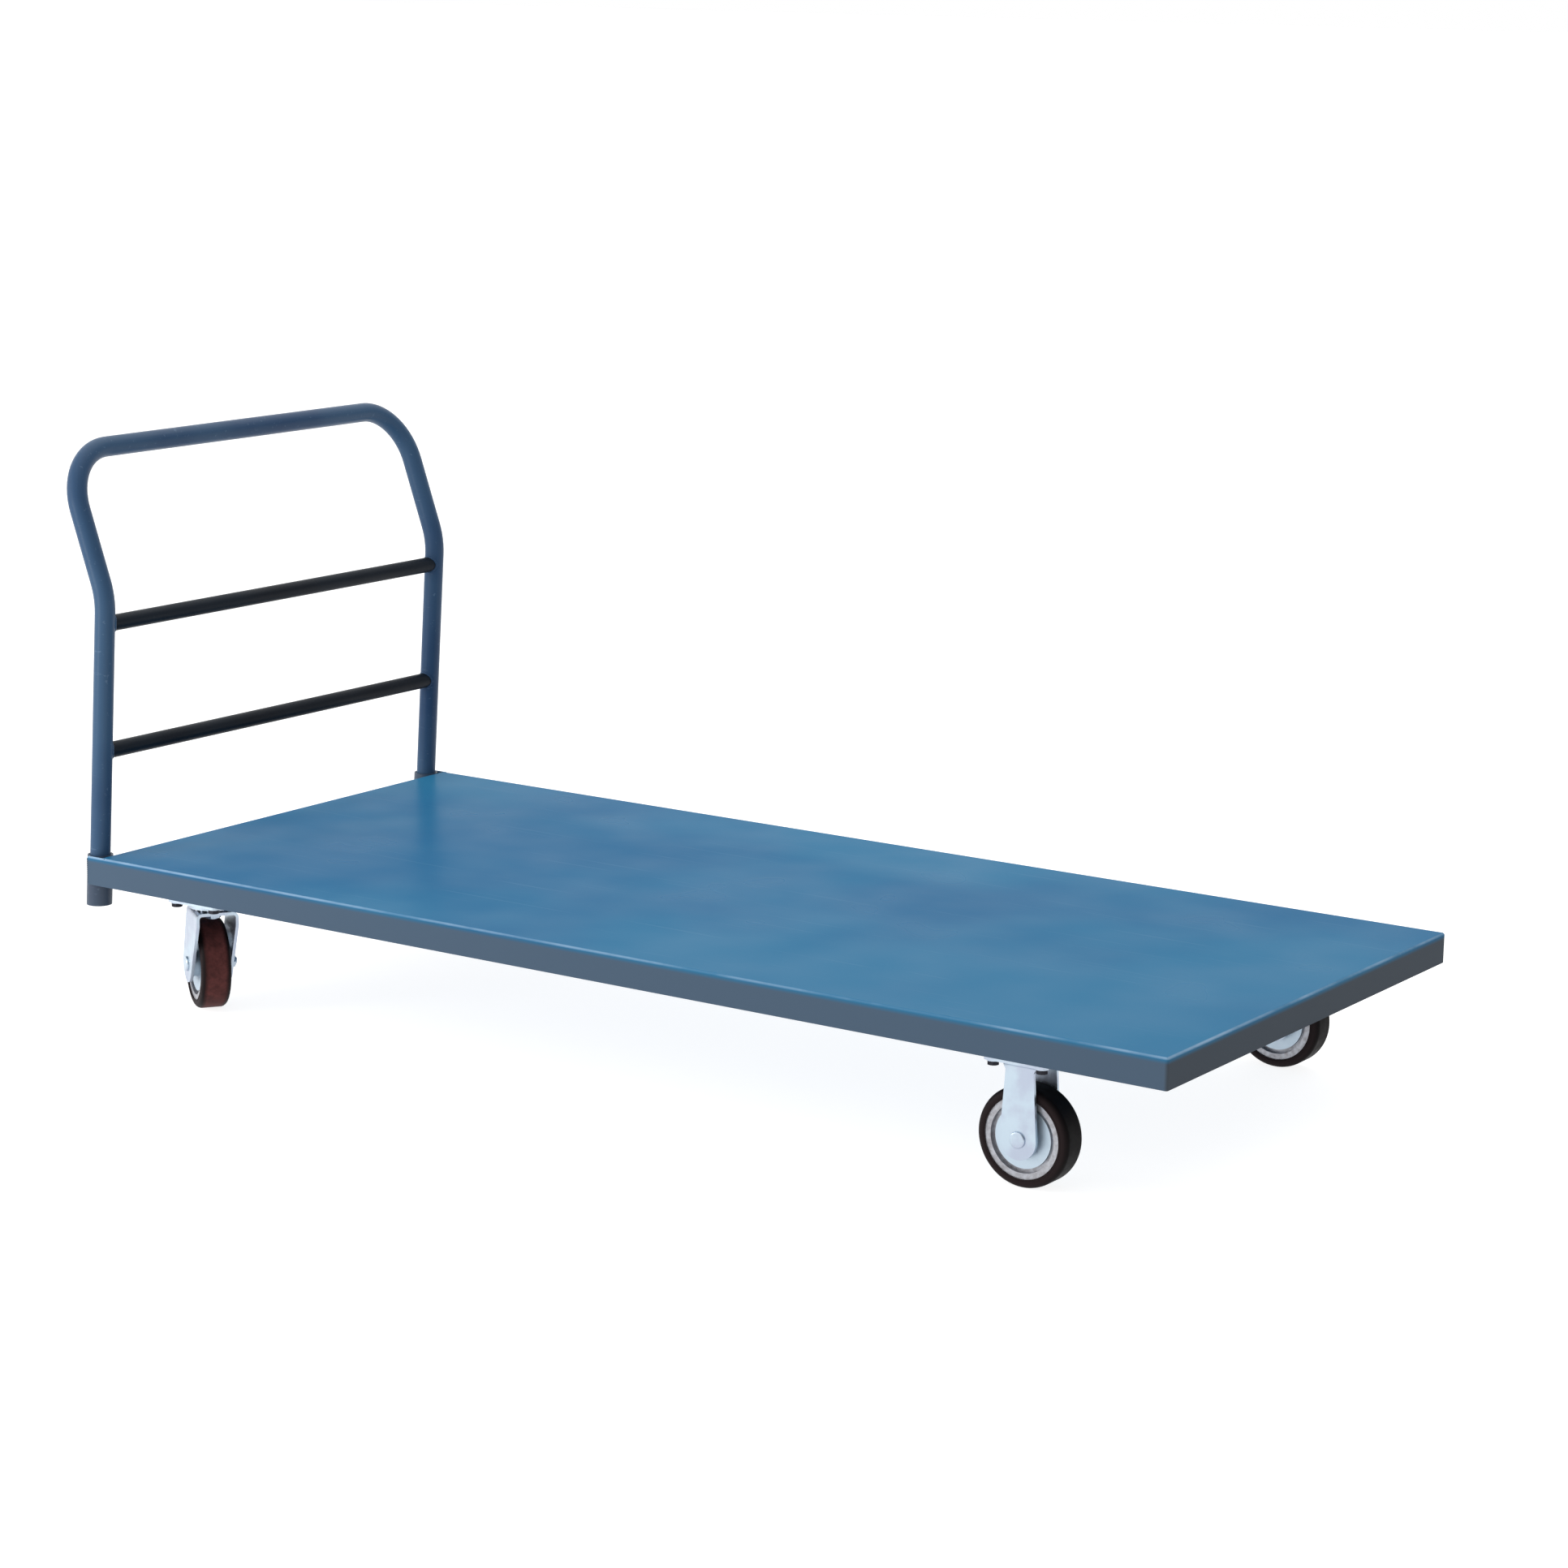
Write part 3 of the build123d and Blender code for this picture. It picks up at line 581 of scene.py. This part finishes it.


# %% [markdown]
# The next function takes a list of paths, each a list of points, and makes the finished beads into one plain
# mesh at the origin, riding on a body. A closed path gets one more edge from its last point to its first.

# %% Define the bead maker
def make_beads(name, body, finish, paths, radius, pitch=3 * MM, ripple=0.0, step=1 * MM, closed=False):
    """Beads along paths as one plain piece that rides on a body."""
    points = []
    edges = []
    for path in paths:
        first = len(points)
        points += path
        edges += [(number, number + 1) for number in range(first, len(points) - 1)]
        if closed:
            edges.append((len(points) - 1, first))
    mesh = bpy.data.meshes.new(name + "_paths")
    mesh.from_pydata([tuple(point) for point in points], edges, [])
    source = bpy.data.objects.new(name + "_paths", mesh)
    bpy.context.scene.collection.objects.link(source)
    modifier = source.modifiers.new("beads", "NODES")
    modifier.node_group = beads
    values = {
        "Bead radius": radius, "Ripple pitch": pitch, "Ripple share": ripple, "Step": step, "Finish": finish,
    }
    for label, value in values.items():
        modifier[input_ids[label]] = value
    graph = bpy.context.evaluated_depsgraph_get()
    result = bpy.data.meshes.new_from_object(source.evaluated_get(graph))
    source.modifiers.clear()
    bpy.data.objects.remove(source)
    piece = bpy.data.objects.new(name, result)
    piece.data.materials.clear()
    piece.data.materials.append(finish)
    bpy.context.scene.collection.objects.link(piece)
    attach(piece, body)
    print(name, "paths:", len(paths), "faces:", len(result.polygons))


# %% [markdown]
# ## Welds on the handle
#
# Each crossbar is coped to the round leg and welded all round. The seam is where the crossbar's surface meets
# the leg's: going round the crossbar, its end lies on the leg at a depth that a right triangle gives. The legs
# lean forward by 3 degrees, so the seam is turned by as much.

# %% Weld the crossbars
LEG_RADIUS = 33.7 / 2 * MM
LEG_LEAN = math.radians(3)
SEAM_POINTS = 48

socket_low, socket_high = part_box("left_handle_socket")
leg_y = (socket_low.y + socket_high.y) / 2
seams = []
for name in ("upper_crossbar", "lower_crossbar"):
    low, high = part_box(name)
    middle = (low + high) / 2
    bar_radius = (high.z - low.z) / 2
    for side in (-1, 1):
        seam = []
        for number in range(SEAM_POINTS):
            angle = math.tau * number / SEAM_POINTS
            aside = bar_radius * math.cos(angle + LEG_LEAN)
            depth = math.sqrt(LEG_RADIUS**2 - aside**2)
            seam.append(
                Vector((
                    middle.x + bar_radius * math.cos(angle),
                    side * (leg_y - depth),
                    middle.z + bar_radius * math.sin(angle),
                ))
            )
        seams.append(seam)
make_beads(
    "crossbar_welds", "frame", finishes["handle_enamel"], seams,
    radius=2.2 * MM, pitch=3.2 * MM, ripple=0.16, closed=True,
)

# %% [markdown]
# ## Welds on the sockets
#
# Each socket stands in the corner between the end skirt and an ear of the side skirt. Two upright beads run in
# the wedges between the round socket and the flat skirt, and a third closes the ear's free edge.

# %% Weld the sockets
WEDGE = 10 * MM
SKIRT_GAP = 1.5 * MM
EAR_GAP = 0.8 * MM
EAR_INSET = 2.4 * MM

seam_low = deck_low.z + 3 * MM
seam_high = deck_top - 4 * MM
skirt_seam = handle_end - SKIRT_GAP
ear_seam = deck_low.x - EAR_GAP
uprights = []
for side in (-1, 1):
    feet = [(skirt_seam, side * leg_y - WEDGE), (skirt_seam, side * leg_y + WEDGE)]
    feet.append((ear_seam, side * (deck_half_width - EAR_INSET)))
    for x, y in feet:
        uprights.append([Vector((x, y, seam_low)), Vector((x, y, seam_high))])
make_beads(
    "socket_welds", "frame", finishes["frame_enamel"], uprights,
    radius=2.6 * MM, pitch=3.4 * MM, ripple=0.16,
)

# %% [markdown]
# ## Stitch welds under the deck
#
# The cross members are held to the sheet by short stitches, 40 mm long, at even steps along both their edges. A
# full seam would warp a 2 mm sheet. Each stitch is a path of its own, just under the sheet.

# %% Stitch the cross members
STITCH = 40 * MM
STITCH_STEP = 145 * MM
STITCH_GAP = 1 * MM
SHEET = 2 * MM

stitches = []
members = ["rear_stiffener", "middle_stiffener", "front_stiffener", "rear_caster_channel", "front_caster_channel"]
for name in members:
    low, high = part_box(name)
    count = int((high.y - low.y - STITCH) // STITCH_STEP) + 1
    first = -(count - 1) * STITCH_STEP / 2
    z = deck_top - SHEET - STITCH_GAP
    for x in (low.x - STITCH_GAP, high.x + STITCH_GAP):
        for number in range(count):
            y = first + number * STITCH_STEP
            stitches.append([Vector((x, y - STITCH / 2, z)), Vector((x, y + STITCH / 2, z))])
make_beads(
    "stitch_welds", "frame", finishes["frame_enamel"], stitches,
    radius=2.2 * MM, pitch=3.2 * MM, ripple=0.16, step=1.1 * MM,
)

# %% [markdown]
# ## Welds on the brackets
#
# A rigid bracket's bent strip is welded under its plate before plating, so the bead is zinc bright too. It lies
# in the groove between the round bend and the plate, on both sides of the strip.

# %% Weld the brackets
BEND_GROOVE = 31.5 * MM
PLATE = 5 * MM
BRACKET_SHOULDER = 56 * MM
GROOVE_DROP = 1.6 * MM
GROOVE_END = 3 * MM

grooves = []
for corner in ("front_left", "front_right"):
    low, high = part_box(f"{corner}_bracket")
    middle = (low + high) / 2
    z = high.z - PLATE - GROOVE_DROP
    half = BRACKET_SHOULDER / 2 - GROOVE_END
    for offset in (-BEND_GROOVE, BEND_GROOVE):
        y = middle.y + offset
        grooves.append([Vector((middle.x - half, y, z)), Vector((middle.x + half, y, z))])
make_beads(
    "bracket_welds", "frame", finishes["zinc_plate"], grooves,
    radius=2.4 * MM, pitch=3.2 * MM, ripple=0.16,
)

# %% [markdown]
# ## Mould lines on the tyres
#
# A moulded tyre carries thin raised rings on both sides, where the mould's halves and inserts met. They lie in
# the wheel's own plane, so two directions square to the axle give each ring's points.

# %% Add the mould lines
TYRE_HALF_WIDTH = 25 * MM
RING_RADIUS = 63.6 * MM
RING_POINTS = 72


def ring(centre, axle, radius, along):
    """Points of a circle about an axle."""
    up = Vector((0, 0, 1))
    ahead = axle.cross(up)
    points = []
    for number in range(RING_POINTS):
        angle = math.tau * number / RING_POINTS
        points.append(centre + axle * along + radius * (math.cos(angle) * ahead + math.sin(angle) * up))
    return points


for wheel, (centre, axle) in wheel_joints.items():
    rings = [ring(centre, axle, RING_RADIUS, side * TYRE_HALF_WIDTH) for side in (-1, 1)]
    make_beads(
        wheel.replace("wheel", "mould_lines"), wheel, rubber_finish[wheel], rings,
        radius=0.55 * MM, step=4 * MM, closed=True,
    )

# %% [markdown]
# ## Threads on the axle bolts
#
# The end of an M12 bolt shows one turn of its thread beyond the nut. The thread is a helix of 1.75 mm pitch
# on the shank. Which way the bolt points is read from where its nut lies.

# %% Cut the threads
AXLE_RADIUS = 6 * MM
THREAD_PITCH = 1.75 * MM
NUT_FACE = 44.6 * MM
TURN_POINTS = 24


def bolt_direction(corner, centre, axle):
    """The axle direction that points to the nut."""
    low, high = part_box(f"{corner}_axle_nut")
    return axle if ((low + high) / 2 - centre).dot(axle) > 0 else -axle


for wheel, (centre, axle) in wheel_joints.items():
    corner = wheel.replace("_wheel", "")
    outward = bolt_direction(corner, centre, axle)
    up = Vector((0, 0, 1))
    ahead = outward.cross(up)
    helix = []
    for number in range(TURN_POINTS + 1):
        angle = math.tau * number / TURN_POINTS
        along = NUT_FACE + THREAD_PITCH * number / TURN_POINTS
        across = AXLE_RADIUS * (math.cos(angle) * ahead + math.sin(angle) * up)
        helix.append(centre + outward * along + across)
    holder = "frame" if corner.startswith("front") else f"{corner}_swivel"
    make_beads(
        f"{corner}_axle_thread", holder, finishes["zinc_plate"], [helix],
        radius=0.45 * MM, step=1.2 * MM,
    )

# %% [markdown]
# ## The studio
#
# The floor is opal acrylic lit from below, which keeps shadows faint. A wide softbox overhead lights the deck's
# top, a second one on the handle's side draws a soft sheen on the pipe and the near skirt, and a narrow one lifts
# the near leg. The surround fills the rest. It is dimmer towards the free end, so that the end skirt falls into
# shade beside the long one, but it is plain white wherever it is looked at directly.

# %% Lay the floor
FLOOR_HALF = 90.0

floor_mesh = bpy.data.meshes.new("studio_floor")
corners = [(FLOOR_HALF * x, FLOOR_HALF * y, 0) for x, y in ((-1, -1), (1, -1), (1, 1), (-1, 1))]
floor_mesh.from_pydata(corners, [], [(0, 1, 2, 3)])
floor = bpy.data.objects.new("studio_floor", floor_mesh)
bpy.context.scene.collection.objects.link(floor)
opal_acrylic, _, shader, _ = new_material("backlit_opal_acrylic", metallic=0.0, ior=1.49)
shader.inputs["Base Color"].default_value = linear("A0A0A0")
shader.inputs["Roughness"].default_value = 0.9
shader.inputs["Specular IOR Level"].default_value = 0.1
shader.inputs["Emission Color"].default_value = linear("FFFFFF")
shader.inputs["Emission Strength"].default_value = 0.88
floor_mesh.materials.append(opal_acrylic)
print("floor side in metres:", 2 * FLOOR_HALF)

# %% Set up the surround
BRIGHT_SIDE = 1.3
DIM_SIDE = 0.35

world = bpy.data.worlds.new("studio_surround")
world.use_nodes = True
tree = world.node_tree
looking = add(tree, "ShaderNodeTexCoord")
parts = add(tree, "ShaderNodeSeparateXYZ", {"Vector": (looking, "Generated")})
shade = add(
    tree, "ShaderNodeMapRange",
    {"Value": (parts, "X"), "From Min": 0.1, "From Max": 0.7, "To Min": BRIGHT_SIDE, "To Max": DIM_SIDE},
)
ray = add(tree, "ShaderNodeLightPath")
strength = add(
    tree, "ShaderNodeMix", {"Factor": (ray, "Is Camera Ray"), 2: (shade, "Result"), 3: 1.0}, data_type="FLOAT"
)
tree.nodes["Background"].inputs["Color"].default_value = linear("FFFFFF")
tree.links.new(strength.outputs[0], tree.nodes["Background"].inputs["Strength"])
bpy.context.scene.world = world
bpy.context.scene.view_settings.view_transform = "Standard"
print("surround nodes:", len(tree.nodes))


# %% Hang the softboxes
def softbox(name, place, aim, width, height, watts):
    """A wide, soft light at a place, turned to a point."""
    data = bpy.data.lights.new(name, "AREA")
    data.shape = "RECTANGLE"
    data.size = width
    data.size_y = height
    data.energy = watts
    light = bpy.data.objects.new(name, data)
    light.location = place
    light.rotation_euler = (Vector(aim) - Vector(place)).to_track_quat("-Z", "Y").to_euler()
    bpy.context.scene.collection.objects.link(light)
    print(name, "watts:", watts)


softbox("overhead_softbox", (-0.6, 0.8, 4.2), aim=(0, 0, 0.2), width=5.0, height=4.0, watts=60)
softbox("side_softbox", (-4.0, -3.5, 2.6), aim=(-0.6, 0, 0.4), width=2.5, height=2.5, watts=30)
softbox("strip_softbox", (-1.6, -1.7, 0.7), aim=(-1.0, -0.42, 0.5), width=0.4, height=1.0, watts=10)
